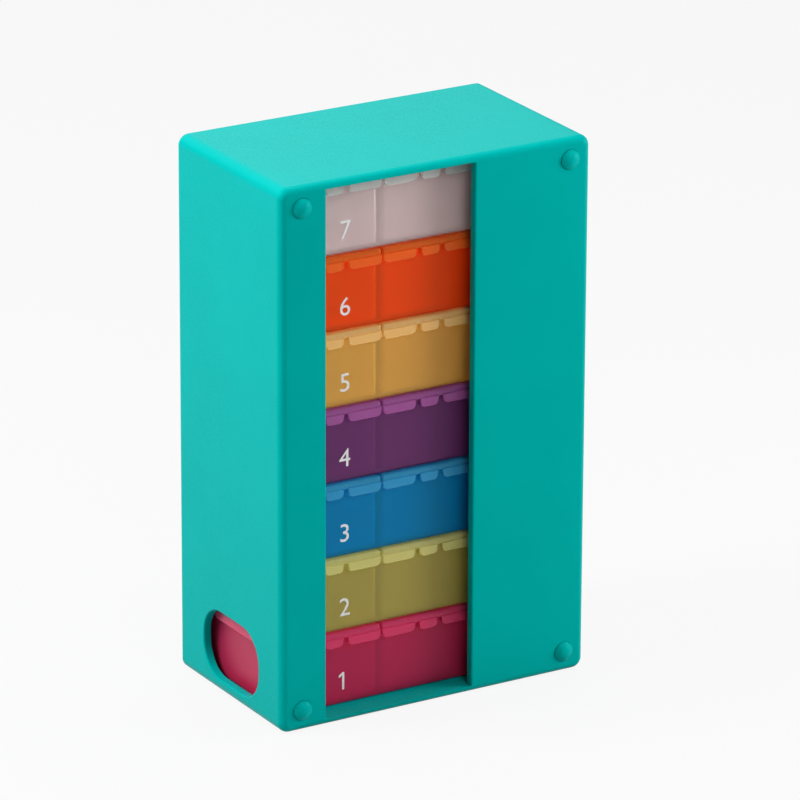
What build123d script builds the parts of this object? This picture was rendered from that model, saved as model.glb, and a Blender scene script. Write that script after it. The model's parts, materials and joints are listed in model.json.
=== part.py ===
"""Weekly pill organizer: a case with a front window and seven day trays, each with three hinged lids.

Millimetres. +Z is up, the window faces -Y, and the trays slide out through the open side at +X.
The origin is at the bottom centre of the whole organizer.
"""
from build123d import *
import os

# Case: outer size, upright walls, floor and ceiling, and roundings
case_width = 102.0
case_depth = 59.0
case_height = 164.0
wall = 2.4
deck = 2.0
corner_radius = 3.2
front_edge_radius = 2.2
back_edge_radius = 0.8

# Front window: the plain strip to its left, its width and the rounding of its upright edges
window_strip = 14.8
window_width = 48.7
window_edge_radius = 0.5

# Finger hole in the left wall, centred in the depth of the case
hole_length = 32.0
hole_height = 21.1
hole_radius = 9.5
hole_rise = 4.4
hole_edge_radius = 0.5

# Open side: how far the front and the back of the case turn round the corner there
front_return = 5.4
rear_return = 4.0

# Ribs that guide the trays
rib_thickness = 1.6
rib_setback = 2.4
stop_rib_depth = 0.35
stop_rib_setback = 2.0

# Back cover, set into a rebate of the case
cover_thickness = 2.0
cover_lip = 1.0
cover_gap = 0.1
cover_rib_count = 3

# Studs in the front corners
stud_diameter = 6.0
stud_proud = 1.6
stud_crown_height = 1.4
stud_side_inset = 7.0
stud_end_inset = 6.4
stud_ring_gap = 0.1
stud_seat_depth = 0.4
stud_shank_diameter = 3.6
stud_shank_gap = 0.05
boss_wall = 1.4
boss_length = 3.0

# Stack of trays and its running clearances
tray_count = 7
stack_gap = 0.15
guide_gap = 0.3
lid_end_gap = 0.6
lid_end_recess = 0.3

# Day tray
cell_count = 3
tray_wall = 1.6
tray_floor = 1.6
partition = 1.4
tray_corner_radius = 2.4
tray_base_radius = 1.3
cell_radius = 1.2

# Lid: plate, tabs and the rim under it
lid_plate = 1.8
lid_overhang = 1.3
lid_gap = 0.3
lid_corner_radius = 0.8
lid_edge_radius = 0.7
tab_thickness = 1.0
tab_proud = 0.45
tab_lap = 0.25
tab_drop = 2.6
tab_taper = 0.35
tab_corner_radius = 1.5
tab_edge_radius = 0.3
tab_notch = 1.3
end_tab_inset = 7.0
rim_drop = 1.2
rim_thickness = 0.8
rim_gap = 0.25

# Snap latch in the middle of the lid's front
latch_width = 6.3
latch_thickness = 0.8
catch_depth = 0.35
catch_height = 0.5
catch_gap = 0.15

# Hinge at the back of the lid
knuckle_diameter = 3.0
pin_diameter = 1.5
pin_gap = 0.05
ear_width = 2.0
ear_inset = 2.5
hinge_gap = 0.15

# How far a cut runs past the faces that it goes through
overrun = 1.0

# Places that follow from the sizes above
left = -case_width / 2
right = case_width / 2
front = (stud_proud - case_depth) / 2
back = front + case_depth
mid_depth = (front + back) / 2
ceiling = case_height - deck
cover_corner_radius = corner_radius - cover_lip
window_left = left + window_strip
window_right = window_left + window_width

tray_pitch = (ceiling - deck - stack_gap) / tray_count
tray_height = tray_pitch - stack_gap
tray_left = left + wall + lid_end_gap + lid_overhang
tray_right = right - lid_end_recess - lid_overhang
tray_front = front + front_return + guide_gap + lid_overhang
tray_back = back - rear_return - guide_gap
tray_bottom = deck + stack_gap
tray_top = tray_bottom + tray_height
tray_rim = tray_top - lid_plate
cell_width = (tray_right - tray_left - 2 * tray_wall - (cell_count - 1) * partition) / cell_count

hinge_y = tray_back - knuckle_diameter / 2
hinge_z = tray_top - knuckle_diameter / 2
ear_front = tray_back - knuckle_diameter
rim_back = ear_front - hinge_gap
lid_front = tray_front - lid_overhang
plate_front = lid_front + tab_proud
catch_top = tray_rim - tab_drop + 2 * catch_height + catch_gap

upward = Axis.Z
along_depth = Axis.Y
along_width = Axis.X
forward = Axis.Y.reverse()
leftward = Axis.X.reverse()


def block(low, high):
    """A box between two opposite corners."""
    size = [end - start for start, end in zip(low, high)]
    return Pos(*low) * Box(*size, align=(Align.MIN, Align.MIN, Align.MIN))


def rod(start, length, diameter, axis):
    """A round bar from a point, along +X or +Y."""
    turn = Rot(0, 90, 0) if axis == along_width else Rot(-90, 0, 0)
    bar = Cylinder(diameter / 2, length, align=(Align.CENTER, Align.CENTER, Align.MIN))
    return Pos(*start) * turn * bar


def slab(size, radius, y_start, y_end):
    """A rounded rectangle as wide and tall as size, centred on the case, between two depths."""
    outline = Pos(0, case_height / 2) * RectangleRounded(*size, radius)
    return extrude(Plane.XZ.offset(-y_end) * outline, amount=y_end - y_start)


def stud_places():
    """The (x, z) centres of the four studs."""
    side = case_width / 2 - stud_side_inset
    heights = (stud_end_inset, case_height - stud_end_inset)
    return [(x, z) for z in heights for x in (-side, side)]


def guide_rib_places():
    """The left faces of the two ribs behind the front wall, clear of the window."""
    panel_middle = (window_right + right - wall) / 2
    return [window_left - rib_setback - rib_thickness, panel_middle - rib_thickness / 2]


def case_shell():
    """The case: front, left, top and bottom walls and the frame of the open side, in one piece."""
    shell = slab((case_width, case_height), corner_radius, front, back)
    shell = fillet(shell.faces().sort_by(along_depth)[0].edges(), front_edge_radius)
    shell = fillet(shell.faces().sort_by(along_depth)[-1].edges(), back_edge_radius)
    shell -= block((left + wall, front + wall, deck), (right - wall, back + overrun, ceiling))
    shell -= slab(
        (case_width - 2 * cover_lip, case_height - 2 * cover_lip),
        cover_corner_radius,
        back - cover_thickness,
        back + overrun,
    )
    shell -= block(
        (right - wall - overrun, front + front_return, deck),
        (right + overrun, back - rear_return, ceiling),
    )
    shell -= block((window_left, front - overrun, deck), (window_right, front + wall + overrun, ceiling))
    window_edges = shell.edges().filter_by(upward).filter_by_position(
        along_depth, front, front
    ).filter_by_position(along_width, window_left, window_right)
    shell = fillet(window_edges, window_edge_radius)

    hole = RectangleRounded(hole_length, hole_height, hole_radius)
    hole_place = Plane.YZ.offset(left - overrun) * Pos(mid_depth, hole_rise + hole_height / 2)
    shell -= extrude(hole_place * hole, amount=wall + 2 * overrun)
    hole_rim = shell.faces().filter_by(along_width).sort_by(along_width)[0].inner_wires()[0].edges()
    shell = fillet(hole_rim, hole_edge_radius)

    for rib_left in guide_rib_places():
        shell += block(
            (rib_left, front + wall, deck),
            (rib_left + rib_thickness, front + front_return, ceiling),
        )
    for side in (-1, 1):
        rib_middle = mid_depth + side * (hole_length / 2 + stop_rib_setback + rib_thickness / 2)
        shell += block(
            (left + wall, rib_middle - rib_thickness / 2, deck),
            (left + wall + stop_rib_depth, rib_middle + rib_thickness / 2, ceiling),
        )

    bore = stud_shank_diameter + 2 * stud_shank_gap
    for x, z in stud_places():
        shell += rod((x, front + wall, z), boss_length, bore + 2 * boss_wall, along_depth)
        shell -= rod((x, front - overrun, z), wall + boss_length + 2 * overrun, bore, along_depth)
        seat = stud_diameter + 2 * stud_ring_gap
        shell -= rod((x, front - overrun, z), overrun + stud_seat_depth, seat, along_depth)
    return shell


def back_cover():
    """The panel in the back of the case, with ribs that keep the trays off it."""
    width = case_width - 2 * cover_lip - 2 * cover_gap
    height = case_height - 2 * cover_lip - 2 * cover_gap
    inner_face = back - cover_thickness
    cover = slab((width, height), cover_corner_radius, inner_face, back)
    span = tray_right - tray_left
    for number in range(cover_rib_count):
        rib_middle = tray_left + span * (number + 1) / (cover_rib_count + 1)
        cover += block(
            (rib_middle - rib_thickness / 2, tray_back + guide_gap, deck + stack_gap),
            (rib_middle + rib_thickness / 2, inner_face, ceiling - stack_gap),
        )
    return cover


def front_studs():
    """The four domed studs, pressed into the bosses of the front wall."""
    head_base = front + stud_seat_depth
    skirt_start = front - stud_proud + stud_crown_height
    crown_radius = ((stud_diameter / 2) ** 2 + stud_crown_height**2) / (2 * stud_crown_height)
    studs = []
    for x, z in stud_places():
        head = rod((x, front - stud_proud, z), stud_proud + stud_seat_depth, stud_diameter, along_depth)
        head &= Pos(x, front - stud_proud + crown_radius, z) * Sphere(crown_radius)
        head += rod((x, skirt_start, z), head_base - skirt_start, stud_diameter, along_depth)
        shank_length = wall - stud_seat_depth + boss_length
        studs.append(head + rod((x, head_base, z), shank_length, stud_shank_diameter, along_depth))
    return Compound(studs)


def cell_left(cell):
    """The inner left face of a cell."""
    return tray_left + tray_wall + cell * (cell_width + partition)


def lid_span(cell):
    """The two ends of a lid: over the middle of each partition, and past the tray's end walls."""
    start = cell_left(cell) - partition / 2 + lid_gap / 2
    end = cell_left(cell) + cell_width + partition / 2 - lid_gap / 2
    if cell == 0:
        start = tray_left - lid_overhang
    if cell == cell_count - 1:
        end = tray_right + lid_overhang
    return start, end


def hinge_ends(cell):
    """The left and right ends of the gap between the two ears that carry a lid."""
    start = cell_left(cell) + ear_inset + ear_width
    end = cell_left(cell) + cell_width - ear_inset - ear_width
    return start, end


def ear_places(cell):
    """The left faces of the two ears that carry a lid."""
    start, end = hinge_ends(cell)
    return start - ear_width, end


def latch_middle(cell):
    return cell_left(cell) + cell_width / 2


def day_tray():
    """One day's tray, at the bottom of the stack: three cells, hinge ears and latch catches."""
    length = tray_right - tray_left
    depth = tray_back - tray_front
    middle = Pos((tray_left + tray_right) / 2, (tray_front + tray_back) / 2, tray_bottom)
    outline = RectangleRounded(length, depth, tray_corner_radius)
    tray = middle * extrude(outline, amount=tray_rim - tray_bottom)
    tray = fillet(tray.faces().sort_by(upward)[0].edges(), tray_base_radius)

    cell_depth = depth - 2 * tray_wall
    cell_floor = tray_bottom + tray_floor
    for cell in range(cell_count):
        place = Pos(cell_left(cell) + cell_width / 2, tray_front + tray_wall + cell_depth / 2, cell_floor)
        pocket = RectangleRounded(cell_width, cell_depth, cell_radius)
        tray -= place * extrude(pocket, amount=tray_rim - cell_floor + overrun)

    for cell in range(cell_count):
        start, end = hinge_ends(cell)
        knuckle_bottom = tray_top - knuckle_diameter - hinge_gap
        tray -= block(
            (start, tray_back - tray_wall - overrun, knuckle_bottom),
            (end, tray_back + overrun, tray_top),
        )
        for ear_left in ear_places(cell):
            foot = block(
                (ear_left, ear_front, knuckle_bottom),
                (ear_left + ear_width, tray_back, hinge_z),
            )
            ear = foot + rod((ear_left, hinge_y, hinge_z), ear_width, knuckle_diameter, along_width)
            bore = pin_diameter + 2 * pin_gap
            tray += ear
            tray -= rod((ear_left - overrun, hinge_y, hinge_z), ear_width + 2 * overrun, bore, along_width)

        catch_left = latch_middle(cell) - latch_width / 2
        tray += block(
            (catch_left, tray_front - catch_depth, catch_top - catch_height),
            (catch_left + latch_width, tray_front, catch_top),
        )
    return tray


def hanging_tab(plane, start, end, thickness, outward):
    """A tab on the lid's edge: narrower and rounded at the bottom, with a softened outer face."""
    top = tray_rim + tab_lap
    bottom = tray_rim - tab_drop
    corners = (start + tab_taper, bottom), (end - tab_taper, bottom), (end, top), (start, top)
    outline = Polygon(*corners, align=None)
    outline = fillet(outline.vertices().group_by(along_depth)[0], tab_corner_radius)
    tab = extrude(plane * outline, amount=thickness)
    return fillet(tab.faces().sort_by(outward)[-1].edges(), tab_edge_radius)


def lid_cover(start, end):
    """The lid's plate: rounded at the front corners and along the top, square at the hinge."""
    outline = Rectangle(end - start, hinge_y - plate_front)
    outline = fillet(outline.vertices().group_by(along_depth)[0], lid_corner_radius)
    middle = Pos((start + end) / 2, (plate_front + hinge_y) / 2, tray_rim)
    plate = middle * extrude(outline, amount=lid_plate)
    return fillet(plate.faces().sort_by(upward)[-1].edges().sort_by(along_depth)[:-1], lid_edge_radius)


def lid_rim(cell):
    """The ring under the plate that centres the lid in its cell."""
    rim_left = cell_left(cell) + rim_gap
    rim_right = cell_left(cell) + cell_width - rim_gap
    rim_front = tray_front + tray_wall + rim_gap
    rim = block((rim_left, rim_front, tray_rim - rim_drop), (rim_right, rim_back, tray_rim))
    rim -= block(
        (rim_left + rim_thickness, rim_front + rim_thickness, tray_rim - rim_drop - overrun),
        (rim_right - rim_thickness, rim_back - rim_thickness, tray_rim),
    )
    return fillet(rim.edges().filter_by(upward).group_by(along_depth)[0], cell_radius - rim_gap)


def lid(cell):
    """One lid: plate, hanging tabs with the latch, rim, and the hinge knuckle with its two pins."""
    start, end = lid_span(cell)
    piece = lid_cover(start, end) + lid_rim(cell)

    latch_left = latch_middle(cell) - latch_width / 2
    latch_right = latch_left + latch_width
    tab_bottom = tray_rim - tab_drop
    for tab_left, tab_right, thickness in (
        (start, latch_left - tab_notch, tab_thickness),
        (latch_left, latch_right, latch_thickness),
        (latch_right + tab_notch, end, tab_thickness),
    ):
        plane = Plane.XZ.offset(-lid_front - thickness)
        piece += hanging_tab(plane, tab_left, tab_right, thickness, forward)
    catch_inset = tab_taper + tab_corner_radius
    piece += block(
        (latch_left + catch_inset, lid_front + latch_thickness / 2, tab_bottom),
        (latch_right - catch_inset, lid_front + latch_thickness + catch_depth, tab_bottom + catch_height),
    )
    for at_end, tab_side, outward in (
        (cell == 0, start, leftward),
        (cell == cell_count - 1, end - tab_thickness, along_width),
    ):
        if at_end:
            plane = Plane.YZ.offset(tab_side)
            tab_start = lid_front + end_tab_inset
            tab_end = rim_back - end_tab_inset
            piece += hanging_tab(plane, tab_start, tab_end, tab_thickness, outward)

    for ear_left in ear_places(cell):
        piece -= block(
            (ear_left - hinge_gap, rim_back, tray_rim - overrun),
            (ear_left + ear_width + hinge_gap, hinge_y + overrun, tray_top + overrun),
        )
    hinge_start, hinge_end = hinge_ends(cell)
    knuckle_length = hinge_end - hinge_start - 2 * hinge_gap
    piece += rod((hinge_start + hinge_gap, hinge_y, hinge_z), knuckle_length, knuckle_diameter, along_width)
    pin_length = hinge_end - hinge_start + 2 * ear_width
    return piece + rod((hinge_start - ear_width, hinge_y, hinge_z), pin_length, pin_diameter, along_width)


lid_names = ("left", "middle", "right")

os.makedirs("parts", exist_ok=True)
export_step(case_shell(), "parts/case_shell.step")
export_step(back_cover(), "parts/back_cover.step")
export_step(front_studs(), "parts/front_studs.step")
bottom_tray = day_tray()
bottom_lids = [lid(cell) for cell in range(cell_count)]
for level in range(tray_count):
    lift = Pos(0, 0, level * tray_pitch)
    export_step(lift * bottom_tray, f"parts/day_tray_{level + 1}.step")
    for name, bottom_lid in zip(lid_names, bottom_lids):
        export_step(lift * bottom_lid, f"parts/lid_{level + 1}_{name}.step")
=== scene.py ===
# %% [markdown]
# # A weekly pill organizer, dressed for the camera
# The organizer is an upright teal case with a tall window. Behind the window stand seven trays of
# frosted, tinted plastic, one for each day, and every tray has three small hinged lids. The solids come
# from the CAD frame at their real size. This lesson gives them their finish, prints a number on each
# tray, and lights the whole for a plain product photograph.

import json
import math

import bmesh
import bpy
from mathutils import Matrix, Vector


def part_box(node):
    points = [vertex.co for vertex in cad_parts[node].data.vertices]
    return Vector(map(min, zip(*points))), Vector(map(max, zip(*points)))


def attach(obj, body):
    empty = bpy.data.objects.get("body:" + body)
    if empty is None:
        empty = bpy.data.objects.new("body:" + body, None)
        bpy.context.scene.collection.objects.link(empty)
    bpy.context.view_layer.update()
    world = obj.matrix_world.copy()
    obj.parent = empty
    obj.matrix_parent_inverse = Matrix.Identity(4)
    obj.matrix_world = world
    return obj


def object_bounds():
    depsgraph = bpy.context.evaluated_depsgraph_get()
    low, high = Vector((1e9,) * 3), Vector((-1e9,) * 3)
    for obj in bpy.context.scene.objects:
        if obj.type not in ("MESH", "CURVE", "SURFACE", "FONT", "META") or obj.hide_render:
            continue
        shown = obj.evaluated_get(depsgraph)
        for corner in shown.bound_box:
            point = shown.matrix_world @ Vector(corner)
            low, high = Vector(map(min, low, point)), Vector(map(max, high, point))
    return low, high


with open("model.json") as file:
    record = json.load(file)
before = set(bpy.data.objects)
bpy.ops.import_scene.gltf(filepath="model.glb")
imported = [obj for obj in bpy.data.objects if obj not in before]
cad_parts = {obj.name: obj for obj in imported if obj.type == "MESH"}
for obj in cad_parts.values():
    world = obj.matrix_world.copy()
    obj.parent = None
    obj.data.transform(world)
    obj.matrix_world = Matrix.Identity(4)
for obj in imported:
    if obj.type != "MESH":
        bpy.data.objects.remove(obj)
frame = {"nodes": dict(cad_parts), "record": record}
nodes = frame["nodes"]
bodies = frame["record"]["behaviour"]["bodies"]
cad_low, cad_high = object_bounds()
MM = 0.001
print("the organizer measures", [round(v / MM, 1) for v in cad_high - cad_low], "mm")

# %% [markdown]
# ## Sums on sockets
# A finish is a small sum: a gloss that is rougher here than there, a colour that wanders a little. Wired
# by hand, every plus and times sign of that sum takes a node and two links. Here one class wraps an
# output socket instead, and Python's own signs add the Math nodes, so a finish reads like the sum that it
# is.

# %% A socket that does sums
class Wire:
    """An output socket. Adding to it or multiplying it adds a Math node."""

    def __init__(self, finish, socket):
        self.finish = finish
        self.socket = socket

    def reckon(self, operation, other):
        return self.finish.node("ShaderNodeMath", {"operation": operation}, {0: self, 1: other})

    def __add__(self, other):
        return self.reckon("ADD", other)

    def __mul__(self, other):
        return self.reckon("MULTIPLY", other)

    __radd__ = __add__
    __rmul__ = __mul__


print("a wire can be added and multiplied, from either side")

# %% [markdown]
# ## A material that takes nodes
# A new material comes with a Principled shader and an output. Every further node needs its settings, its
# values and its links, and writing each on a line of its own hides the look behind the plumbing. One
# method takes all three at once, and another sets the shader's own sockets by name.

# %% A finish
class Finish:
    """A material with its Principled shader, and the one way to add a node to it."""

    def __init__(self, name):
        self.material = bpy.data.materials.new(name)
        self.material.use_nodes = True
        self.tree = self.material.node_tree
        self.shader = self.tree.nodes["Principled BSDF"]

    def feed(self, socket, value):
        if isinstance(value, Wire):
            self.tree.links.new(value.socket, socket)
        else:
            socket.default_value = value

    def node(self, kind, settings, sockets, output=0):
        made = self.tree.nodes.new(kind)
        for name, value in settings.items():
            setattr(made, name, value)
        for name, value in sockets.items():
            self.feed(made.inputs[name], value)
        return Wire(self, made.outputs[output])

    def set(self, **sockets):
        for name, value in sockets.items():
            self.feed(self.shader.inputs[name.replace("_", " ")], value)


print("a finish takes a node's type, its settings and its sockets")

# %% [markdown]
# ## Colours from a paint chart
# Colours are easiest to judge as the 0 to 255 numbers of a paint chart, but those are stretched for the
# eye, and shaders reckon with light itself. Blender's colour picker turns one into the other, and a
# script has to do it too. The numbers below are those of the sRGB standard.

# %% Colours
def linear(level):
    """One 0 to 255 number of a colour, as light from 0 to 1."""
    level = level / 255
    return level / 12.92 if level <= 0.04045 else ((level + 0.055) / 1.055) ** 2.4


def srgb(red, green, blue):
    return linear(red), linear(green), linear(blue), 1.0


print("a chart's middle grey, 128, is", round(linear(128), 3), "of full light")

# %% [markdown]
# ## Blotches, blends and bumps
# No moulding is quite even. Its colour drifts where the plastic flowed, and its skin carries the grain of
# the steel mould. A photograph of real plastic could be laid on as a picture, but it would need
# unwrapping and would blur close up. Noise in the object's own coordinates has neither fault, and it
# stays on the piece when the camera moves.

# %% Helpers for an uneven surface
FINE_DETAIL = 2.0
FLOWING_DETAIL = 3.0
MIX_FIRST_COLOUR = 6
MIX_SECOND_COLOUR = 7
MIX_COLOUR_RESULT = 2


def noise(finish, size, detail=FINE_DETAIL):
    """Soft blotches about as large as size, from 0 to 1."""
    place = finish.node("ShaderNodeTexCoord", {}, {}, output="Object")
    return finish.node("ShaderNodeTexNoise", {}, {"Vector": place, "Scale": 1.0 / size, "Detail": detail})


def blend(finish, share, first, second):
    """A colour between two others."""
    sockets = {"Factor": share, MIX_FIRST_COLOUR: first, MIX_SECOND_COLOUR: second}
    return finish.node("ShaderNodeMix", {"data_type": "RGBA"}, sockets, output=MIX_COLOUR_RESULT)


def relief(finish, height, depth, strength):
    """Bumps of the given depth, for the shader's Normal."""
    return finish.node("ShaderNodeBump", {}, {"Height": height, "Distance": depth, "Strength": strength})


print("helpers for noise, blended colours and relief")

# %% [markdown]
# ## The case
# The case is a satin moulding in a strong teal, and so are its back cover and the four studs on the
# front. A plain colour with a plain gloss would look like a drawing. The pigment swirls a little here,
# and the fine grain of the mould both bends the light and makes the gloss rougher from spot to spot. The
# gloss itself is faint, because a strong one would mirror the pale floor and wash out the teal.

# %% Satin teal plastic
DEEP_TEAL = srgb(0, 170, 164)
BRIGHT_TEAL = srgb(0, 180, 174)
SWIRL_SIZE = 30 * MM
SWIRL_ROUGHNESS = 0.06
GRAIN_SIZE = 0.35 * MM
GRAIN_DEPTH = 0.02 * MM
GRAIN_STRENGTH = 0.25
GRAIN_ROUGHNESS = 0.10
CASE_ROUGHNESS = 0.20
CASE_GLOSS = 0.03
CASE_GLOSS_TINT = (0.0, 0.85, 0.85, 1.0)


def satin_case_plastic():
    finish = Finish("satin_teal_plastic")
    swirl = noise(finish, SWIRL_SIZE, FLOWING_DETAIL)
    grain = noise(finish, GRAIN_SIZE)
    finish.set(
        Base_Color=blend(finish, swirl, DEEP_TEAL, BRIGHT_TEAL),
        Roughness=grain * GRAIN_ROUGHNESS + swirl * SWIRL_ROUGHNESS + CASE_ROUGHNESS,
        Normal=relief(finish, grain, GRAIN_DEPTH, GRAIN_STRENGTH),
        Specular_IOR_Level=CASE_GLOSS,
        Specular_Tint=CASE_GLOSS_TINT,
    )
    return finish.material


case_plastic = satin_case_plastic()
print("made", case_plastic.name)

# %% Dress the case
def dress(mesh, material):
    """Makes the material the mesh's only one."""
    mesh.materials.clear()
    mesh.materials.append(material)


for name in bodies["case"]:
    dress(nodes[name].data, case_plastic)
print("satin teal on", ", ".join(bodies["case"]))

# %% [markdown]
# ## The trays and lids
# The trays are moulded from frosted polypropylene, each in its own tint, so that a day is found by its
# colour. The lids are the same plastic, and their tint is paler. That is partly because they are thinner,
# and partly painted light: the paler colour stands in for the extra light that the proud lids catch.
# Each tint is therefore a pair of colours: the first for the tray's walls, the second for its lids.

# %% The tints, from the bottom tray to the top
# The second colour of each pair is paler, partly for thinner plastic and partly as painted light.
TINTS = {
    "magenta": (srgb(216, 60, 110), srgb(230, 76, 124)),
    "lime": (srgb(204, 190, 104), srgb(224, 218, 142)),
    "blue": (srgb(16, 158, 212), srgb(66, 172, 216)),
    "purple": (srgb(139, 73, 137), srgb(184, 104, 174)),
    "amber": (srgb(241, 197, 102), srgb(247, 210, 138)),
    "orange": (srgb(255, 98, 28), srgb(246, 120, 46)),
    "clear": (srgb(238, 220, 219), srgb(222, 222, 219)),
}
print(len(TINTS), "tints:", ", ".join(TINTS))

# %% [markdown]
# ## Light through the walls
# Lamplight goes through a frosted wall, so the inside of a shut tray is bright and tinted. Glass in
# Blender casts a full shadow unless caustics are traced, which is slow and noisy. A common way round it
# is used here: for the rays that look for a lamp, and for no others, most of the plastic gives way to a
# tinted Transparent shader.

# %% Let lamplight through
LAMPLIGHT_SHARE = 0.95


def give_way(finish, share, other):
    """Gives a share of the surface to another shader."""
    own = Wire(finish, finish.shader.outputs["BSDF"])
    mixed = finish.node("ShaderNodeMixShader", {}, {0: share, 1: own, 2: other})
    finish.feed(finish.tree.nodes["Material Output"].inputs["Surface"], mixed)


def ray(finish, kind):
    """One for rays of the given kind, and zero for all others."""
    return finish.node("ShaderNodeLightPath", {}, {}, output=kind)


def pass_lamplight(finish, tint):
    clear = finish.node("ShaderNodeBsdfTransparent", {}, {"Color": tint})
    give_way(finish, ray(finish, "Is Shadow Ray") * LAMPLIGHT_SHARE, clear)


print("frosted walls will pass", LAMPLIGHT_SHARE, "of a lamp's light, tinted")

# %% [markdown]
# ## Frosted plastic
# A frosted wall shows what stands close behind it as a faint change of tone, and hides what is further
# off. Subsurface scattering could make that, but it shows nothing of the partitions inside. Part of the
# Principled shader's weight is in transmission instead, with a surface that is too rough to look like
# glass. The gloss and the light that passes take a paler form of the tint.

# %% Frosted plastic
FLOW_SIZE = 18 * MM
FLOW_ROUGHNESS = 0.05
FROST_SIZE = 0.25 * MM
FROST_DEPTH = 0.015 * MM
FROST_STRENGTH = 0.2
FROST_ROUGHNESS = 0.12
DEEP_SHARE = 0.92
GLOSS_POWER = 0.5
LAMPLIGHT_POWER = 0.3
POLYPROPYLENE_IOR = 1.49


def paler(tint, power):
    """The same hue, paler as the power nears zero."""
    return tuple(level ** power for level in tint[:3]) + (1.0,)


def frosted_plastic(name, tint, clarity, roughness):
    finish = Finish(name)
    flow = noise(finish, FLOW_SIZE, FLOWING_DETAIL)
    frost = noise(finish, FROST_SIZE)
    deep = tuple(level * DEEP_SHARE for level in tint[:3]) + (1.0,)
    finish.set(
        Base_Color=blend(finish, flow, deep, tint),
        Roughness=frost * FROST_ROUGHNESS + flow * FLOW_ROUGHNESS + roughness,
        Normal=relief(finish, frost, FROST_DEPTH, FROST_STRENGTH),
        Transmission_Weight=clarity,
        IOR=POLYPROPYLENE_IOR,
        Specular_Tint=paler(tint, GLOSS_POWER),
    )
    pass_lamplight(finish, paler(tint, LAMPLIGHT_POWER))
    return finish.material


print("frost is", FROST_SIZE / MM, "mm fine")

# %% Dress the trays and their lids
WALL_CLARITY = 0.60
WALL_ROUGHNESS = 0.28
LID_CLARITY = 0.42
LID_ROUGHNESS = 0.16

# Lids take the paler second tint, lighter partly as painted light for the light that they catch.
for number, (tint_name, (wall_tint, lid_tint_painted_lighter)) in enumerate(TINTS.items(), start=1):
    wall_plastic = frosted_plastic(f"frosted_{tint_name}_tray", wall_tint, WALL_CLARITY, WALL_ROUGHNESS)
    lid_plastic = frosted_plastic(f"frosted_{tint_name}_lid", lid_tint_painted_lighter, LID_CLARITY, LID_ROUGHNESS)
    for name in bodies[f"tray_{number}"]:
        dress(nodes[name].data, wall_plastic if name.startswith("day_tray") else lid_plastic)
    print("tray", number, "is", tint_name, "with", len(bodies[f"tray_{number}"]) - 1, "lids")

# %% [markdown]
# ## The printed numbers
# Each tray carries white print on its front wall. Here it is the number of the day, counted from the
# bottom tray, which is used first. Print could be a picture on the wall, but a picture blurs close up.
# Each number is a thin mesh instead, so its edges stay sharp. The ink is a little worn, and far less
# glossy than the plastic.

# %% White ink
WORN_INK = srgb(226, 222, 222)
FRESH_INK = srgb(244, 242, 242)
WEAR_SIZE = 0.6 * MM
WEAR_ROUGHNESS = 0.15
INK_ROUGHNESS = 0.42


def print_ink():
    finish = Finish("white_print")
    wear = noise(finish, WEAR_SIZE, FLOWING_DETAIL)
    finish.set(
        Base_Color=blend(finish, wear, WORN_INK, FRESH_INK),
        Roughness=wear * WEAR_ROUGHNESS + INK_ROUGHNESS,
    )
    return finish.material


ink = print_ink()
print("made", ink.name)

# %% [markdown]
# ## The shape of a number
# A text object gives the outline of any number. The built-in font draws a one as a bare stroke, which
# could be taken for a scratch, so the one is a filled curve of its own with a flag at the top. Both kinds
# are curves, and Blender fills and thickens them alike.

# %% Outlines
FLAG_ONE = (0.34, 0.0), (0.34, 1.0), (0.23, 1.0), (0.0, 0.83), (0.0, 0.69), (0.21, 0.83), (0.21, 0.0)
OUTLINE_STEPS = 8


def numeral_one():
    shape = bpy.data.curves.new("numeral", "CURVE")
    shape.dimensions = "2D"
    shape.fill_mode = "BOTH"
    ring = shape.splines.new("POLY")
    ring.points.add(len(FLAG_ONE) - 1)
    for point, (across, up) in zip(ring.points, FLAG_ONE):
        point.co = (across, up, 0.0, 1.0)
    ring.use_cyclic_u = True
    return shape


def numeral(number):
    shape = bpy.data.curves.new("numeral", "FONT")
    shape.body = str(number)
    shape.resolution_u = OUTLINE_STEPS
    return shape


print("the one has", len(FLAG_ONE), "corners, the other numbers come from the font")

# %% [markdown]
# ## From an outline to print on a tray
# A curve becomes a mesh first, and its place is applied to the mesh, so that the finished number sits at
# the origin like every CAD piece. The tray's and the lid's own boxes say where the front wall is. Each
# number rides on its tray, and slides out with it.

# %% A number as a mesh
PRINT_DEPTH = 0.03 * MM


def numeral_mesh(number):
    shape = numeral_one() if number == 1 else numeral(number)
    shape.extrude = PRINT_DEPTH
    outline = bpy.data.objects.new("numeral", shape)
    bpy.context.scene.collection.objects.link(outline)
    bpy.context.view_layer.update()
    mesh = bpy.data.meshes.new_from_object(outline.evaluated_get(bpy.context.evaluated_depsgraph_get()))
    bpy.data.objects.remove(outline)
    return mesh


print("print stands", PRINT_DEPTH / MM, "mm proud of the wall")

# %% Print the numbers
LID_OVERHANG = 1.3 * MM
PRINT_HEIGHT = 5.4 * MM
PRINT_BASE = 4.6 * MM
PRINT_FROM_LEFT = 23.0 * MM
UPRIGHT = Matrix.Rotation(math.radians(90), 4, "X")


def day_number(number):
    mesh = numeral_mesh(number)
    tall = max(v.co.y for v in mesh.vertices) - min(v.co.y for v in mesh.vertices)
    scale = PRINT_HEIGHT / tall
    tray_low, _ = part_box(f"day_tray_{number}")
    lid_low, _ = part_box(f"lid_{number}_left")
    spot = Vector((cad_low.x + PRINT_FROM_LEFT, lid_low.y + LID_OVERHANG, tray_low.z + PRINT_BASE))
    mesh.transform(Matrix.Translation(spot) @ UPRIGHT @ Matrix.Diagonal((scale, scale, 1, 1)))
    dress(mesh, ink)
    piece = bpy.data.objects.new(f"day_number_{number}", mesh)
    bpy.context.scene.collection.objects.link(piece)
    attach(piece, f"tray_{number}")
    return piece


for number in range(1, len(TINTS) + 1):
    printed = day_number(number)
    print(printed.name, "has", len(printed.data.polygons), "faces")

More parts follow.
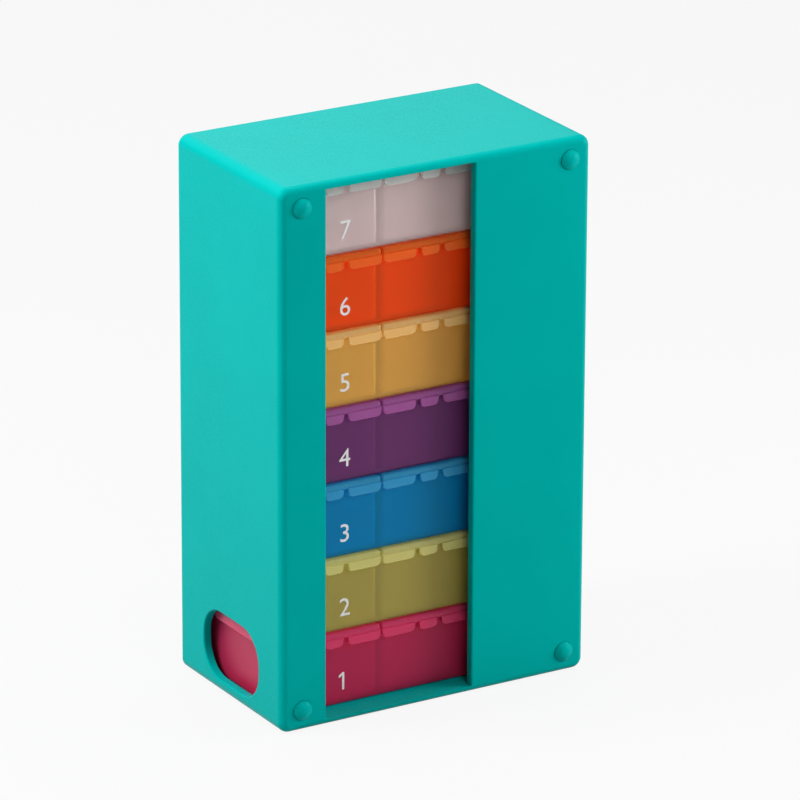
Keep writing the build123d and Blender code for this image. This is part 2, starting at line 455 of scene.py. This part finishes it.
# %% [markdown]
# ## The floor
# A product photograph is often taken on white paper that is lit until it is pure white, while the light
# that it throws back on the object stays moderate. One material can't be both, so the floor is two: a
# pale grey paper for the light that bounces, and a white glow for what the camera sees, straight on, in a
# gloss or through a wall. A little of the grey is left in what is seen, so the organizer keeps a soft
# shadow to stand on.

# %% Pale floor
FLOOR_GREYS = srgb(174, 174, 174), srgb(180, 180, 180)
FLOOR_ROUGHNESS = 0.9
MOTTLE_SIZE = 200 * MM
GLOW_STRENGTH = 1.0
WHITE_SHARE = 0.9
FLOOR_REACH = 4.0


def pale_floor():
    finish = Finish("pale_floor")
    mottle = noise(finish, MOTTLE_SIZE)
    finish.set(Base_Color=blend(finish, mottle, *FLOOR_GREYS), Roughness=FLOOR_ROUGHNESS)
    seen = ray(finish, "Is Camera Ray") + ray(finish, "Is Glossy Ray") + ray(finish, "Is Transmission Ray")
    glow = finish.node("ShaderNodeEmission", {}, {"Strength": GLOW_STRENGTH})
    give_way(finish, seen * WHITE_SHARE, glow)
    return finish.material


sheet = bmesh.new()
bmesh.ops.create_grid(sheet, x_segments=1, y_segments=1, size=FLOOR_REACH)
bmesh.ops.translate(sheet, verts=sheet.verts, vec=(0, 0, cad_low.z))
floor_mesh = bpy.data.meshes.new("floor")
sheet.to_mesh(floor_mesh)
sheet.free()
dress(floor_mesh, pale_floor())
floor = bpy.data.objects.new("floor", floor_mesh)
bpy.context.scene.collection.objects.link(floor)
print("the floor lies at", round(cad_low.z / MM, 3), "mm and reaches", FLOOR_REACH, "m each way")

# %% [markdown]
# ## Lamps and sky
# The light is soft: the top is brightest, then the left side, then the front. Small lamps would draw hard
# shadows, and a bright sky alone would light every side alike. Five broad round lamps give each side its
# own amount, and a faint even sky fills what they miss. The lamp on the right also shines in at the open
# side of the case, so the frosted trays glow a little from within. The one behind only keeps the back
# from going dark.

# %% Five broad lamps
LAMPS = {
    "left_lamp": {"place": (-0.51, 0.14, 0.44), "width": 0.4, "power": 5.2},
    "top_lamp": {"place": (0.20, 0.10, 0.78), "width": 0.5, "power": 2.2},
    "front_lamp": {"place": (-0.06, -0.64, 0.55), "width": 0.5, "power": 2.1},
    "right_lamp": {"place": (0.50, -0.28, 0.14), "width": 0.3, "power": 2.25},
    "back_lamp": {"place": (0.05, 0.95, 0.50), "width": 1.4, "power": 4.3},
}
middle = (cad_low + cad_high) / 2


def soft_lamp(name, place, width, power):
    """A round lamp that stands at place, seen from the organizer's middle, and shines at that middle."""
    lamp = bpy.data.lights.new(name, "AREA")
    lamp.shape = "DISK"
    lamp.size = width
    lamp.energy = power
    holder = bpy.data.objects.new(name, lamp)
    holder.location = middle + Vector(place)
    holder.rotation_euler = (-Vector(place)).to_track_quat("-Z", "Y").to_euler()
    bpy.context.scene.collection.objects.link(holder)


for lamp_name, lamp_values in LAMPS.items():
    soft_lamp(lamp_name, **lamp_values)
    print(lamp_name, "stands", round(Vector(lamp_values["place"]).length, 2), "m away")

# %% Faint sky
SKY_STRENGTH = 0.05
WHITE = (1.0, 1.0, 1.0, 1.0)

sky = bpy.data.worlds.new("studio_sky")
sky.use_nodes = True
background = sky.node_tree.nodes["Background"]
background.inputs["Color"].default_value = WHITE
background.inputs["Strength"].default_value = SKY_STRENGTH
bpy.context.scene.world = sky
bpy.context.scene.view_settings.view_transform = "Standard"
print("the sky gives", SKY_STRENGTH, "of full white")

# %% [markdown]
# ## The camera
# The camera stands where the photograph was taken from: a little to the left of the front, above the top,
# and far off with a long lens. It could be aimed at a target with a constraint, but the place and the
# three angles were worked out from the edges of the case, so they are written down as they are and turned
# into a matrix.

# %% Camera
CAMERA_PLACE = Vector((-0.8830, -1.48915, 0.7194))
CAMERA_AZIMUTH = math.radians(-30.81)
CAMERA_ELEVATION = math.radians(20.16)
CAMERA_ROLL = math.radians(0.26)
CAMERA_LENS = 287.4
SENSOR_WIDTH = 36.0
NEAREST_SEEN = 0.05

towards_camera = Vector((
    math.sin(CAMERA_AZIMUTH) * math.cos(CAMERA_ELEVATION),
    -math.cos(CAMERA_AZIMUTH) * math.cos(CAMERA_ELEVATION),
    math.sin(CAMERA_ELEVATION),
))
lens = bpy.data.cameras.new("camera")
lens.lens = CAMERA_LENS
lens.sensor_width = SENSOR_WIDTH
lens.clip_start = NEAREST_SEEN
camera = bpy.data.objects.new("camera", lens)
camera.matrix_world = (
    Matrix.Translation(CAMERA_PLACE)
    @ towards_camera.to_track_quat("Z", "Y").to_matrix().to_4x4()
    @ Matrix.Rotation(CAMERA_ROLL, 4, "Z")
)
bpy.context.scene.collection.objects.link(camera)
bpy.context.scene.camera = camera
print("the camera is", round((CAMERA_PLACE - middle).length, 2), "m from the organizer's middle")
